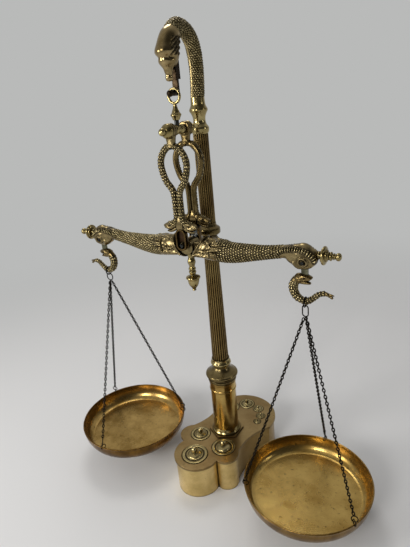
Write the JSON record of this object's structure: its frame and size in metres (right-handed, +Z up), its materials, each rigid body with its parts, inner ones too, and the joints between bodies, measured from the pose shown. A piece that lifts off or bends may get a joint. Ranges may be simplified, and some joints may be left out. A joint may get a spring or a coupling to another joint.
{
  "type": "apothecary scale",
  "caption": "Counter balance on a tall column: a fish-armed beam hangs from a bird's beak, chained pans hang from serpent hooks, and graded weights stand in the base.",
  "frame": {"origin": "on the surface the base stands on, under the column's axis", "axes": "+Z up the column, X along the beam at rest with +X to the right pan, -Y to the front, where the beam hangs"},
  "size_m": [0.524, 0.2524, 0.7024],
  "materials": {
    "base_brass": "satin, olive brown patina",
    "weight_brass": "turned, satin patina",
    "column_brass": "dark aged, brighter on the turned rings",
    "cast_brass": "cast and chased, dark in the hollows",
    "turned_brass": "turned, half polished",
    "pan_brass": "spun, satin patina",
    "dark_steel": "blued and blackened",
    "chain_steel": "blackened wire"
  },
  "bodies": {
    "stand": {"base_casing": "base_brass", "base_plate": "base_brass", "plate_screws": "turned_brass", "tie_rod": "dark_steel", "rod_washer": "dark_steel", "rod_nut": "dark_steel", "column_flange": "column_brass", "pedestal_foot": "column_brass", "pedestal_barrel": "column_brass", "pedestal_band": "column_brass", "pedestal_cap": "column_brass", "shaft_ring": "column_brass", "lower_shaft": "column_brass", "knop": "column_brass", "upper_shaft": "column_brass", "top_collar": "column_brass", "gooseneck": "column_brass", "bird_head": "cast_brass", "lower_jaw": "dark_steel", "beak_hook": "dark_steel"},
    "eye": {"suspension_eye": "turned_brass", "swivel_cap": "turned_brass"},
    "swivel": {"swivel_stem": "dark_steel", "swivel_barrel": "turned_brass"},
    "shackle": {"front_shackle_plate": "cast_brass", "rear_shackle_plate": "cast_brass", "shackle_pin": "dark_steel", "dome_nuts": "turned_brass", "front_bearing": "dark_steel", "rear_bearing": "dark_steel"},
    "beam": {"beam_centre": "cast_brass", "left_arm": "cast_brass", "right_arm": "cast_brass", "knife_edge": "dark_steel", "end_pins": "dark_steel", "left_finial": "turned_brass", "right_finial": "turned_brass", "pendant": "turned_brass"},
    "left_hook_set": {"left_link": "dark_steel", "left_hook": "cast_brass"},
    "right_hook_set": {"right_link": "dark_steel", "right_hook": "cast_brass"},
    "left_ring": {"left_upper_ring": "chain_steel"},
    "right_ring": {"right_upper_ring": "chain_steel"},
    "left_pan_set": {"left_lower_ring": "chain_steel", "left_chains": "chain_steel", "left_pan_loops": "chain_steel", "left_pan": "pan_brass"},
    "right_pan_set": {"right_oval_link": "chain_steel", "right_chains": "chain_steel", "right_pan_loops": "chain_steel", "right_pan": "pan_brass"},
    "weight_1": {"weight_1": "weight_brass"},
    "weight_2": {"weight_2": "weight_brass"},
    "weight_3": {"weight_3": "weight_brass"},
    "weight_4": {"weight_4": "weight_brass"},
    "weight_5": {"weight_5": "weight_brass"},
    "weight_6": {"weight_6": "weight_brass"},
    "weight_7": {"weight_7": "weight_brass"},
    "weight_8": {"weight_8": "weight_brass"}
  },
  "joints": [
    {"name": "eye_rock", "type": "hinge", "parent": "stand", "child": "eye", "pos_m": [0, -0.053, 0.6161], "axis": [1, 0, 0], "range_deg": [-1.5, 1.5]},
    {"name": "swivel_turn", "type": "hinge", "parent": "eye", "child": "swivel", "pos_m": [0, -0.053, 0.588], "axis": [0, 0, 1], "range_deg": [-5, 7]},
    {"name": "shackle_sway", "type": "hinge", "parent": "swivel", "child": "shackle", "pos_m": [0, -0.053, 0.5727], "axis": [0, 1, 0], "range_deg": [-0.1, 0.8]},
    {"name": "beam_tilt", "type": "hinge", "parent": "shackle", "child": "beam", "pos_m": [0, -0.053, 0.4181], "axis": [0, 1, 0], "range_deg": [-5, 5]},
    {"name": "left_hook_swing", "type": "hinge", "parent": "beam", "child": "left_hook_set", "pos_m": [-0.168, -0.053, 0.4131], "axis": [0, 1, 0], "range_deg": [-5, 5]},
    {"name": "right_hook_swing", "type": "hinge", "parent": "beam", "child": "right_hook_set", "pos_m": [0.168, -0.053, 0.4131], "axis": [0, 1, 0], "range_deg": [-5, 5]},
    {"name": "left_ring_rock", "type": "hinge", "parent": "left_hook_set", "child": "left_ring", "pos_m": [-0.168, -0.053, 0.3597], "axis": [1, 0, 0], "range_deg": [-3, 3]},
    {"name": "right_ring_rock", "type": "hinge", "parent": "right_hook_set", "child": "right_ring", "pos_m": [0.168, -0.053, 0.3597], "axis": [1, 0, 0], "range_deg": [-3, 3]},
    {"name": "left_pan_swing", "type": "hinge", "parent": "left_ring", "child": "left_pan_set", "pos_m": [-0.168, -0.053, 0.3519], "axis": [0, 1, 0], "range_deg": [-0.1, 6]},
    {"name": "right_pan_swing", "type": "hinge", "parent": "right_ring", "child": "right_pan_set", "pos_m": [0.168, -0.053, 0.3519], "axis": [0, 1, 0], "range_deg": [-6, 0.5]},
    {"name": "weight_1_lift", "type": "slide", "parent": "stand", "child": "weight_1", "axis": [0, 0, 1], "range_m": [0, 0.03]},
    {"name": "weight_2_lift", "type": "slide", "parent": "stand", "child": "weight_2", "axis": [0, 0, 1], "range_m": [0, 0.03]},
    {"name": "weight_3_lift", "type": "slide", "parent": "stand", "child": "weight_3", "axis": [0, 0, 1], "range_m": [0, 0.03]},
    {"name": "weight_4_lift", "type": "slide", "parent": "stand", "child": "weight_4", "axis": [0, 0, 1], "range_m": [0, 0.03]},
    {"name": "weight_5_lift", "type": "slide", "parent": "stand", "child": "weight_5", "axis": [0, 0, 1], "range_m": [0, 0.03]},
    {"name": "weight_6_lift", "type": "slide", "parent": "stand", "child": "weight_6", "axis": [0, 0, 1], "range_m": [0, 0.03]},
    {"name": "weight_7_lift", "type": "slide", "parent": "stand", "child": "weight_7", "axis": [0, 0, 1], "range_m": [0, 0.03]},
    {"name": "weight_8_lift", "type": "slide", "parent": "stand", "child": "weight_8", "axis": [0, 0, 1], "range_m": [0, 0.03]}
  ],
  "couplings": [
    {"joint": "left_hook_swing", "follows": "beam_tilt", "ratio": -1},
    {"joint": "right_hook_swing", "follows": "beam_tilt", "ratio": -1}
  ]
}
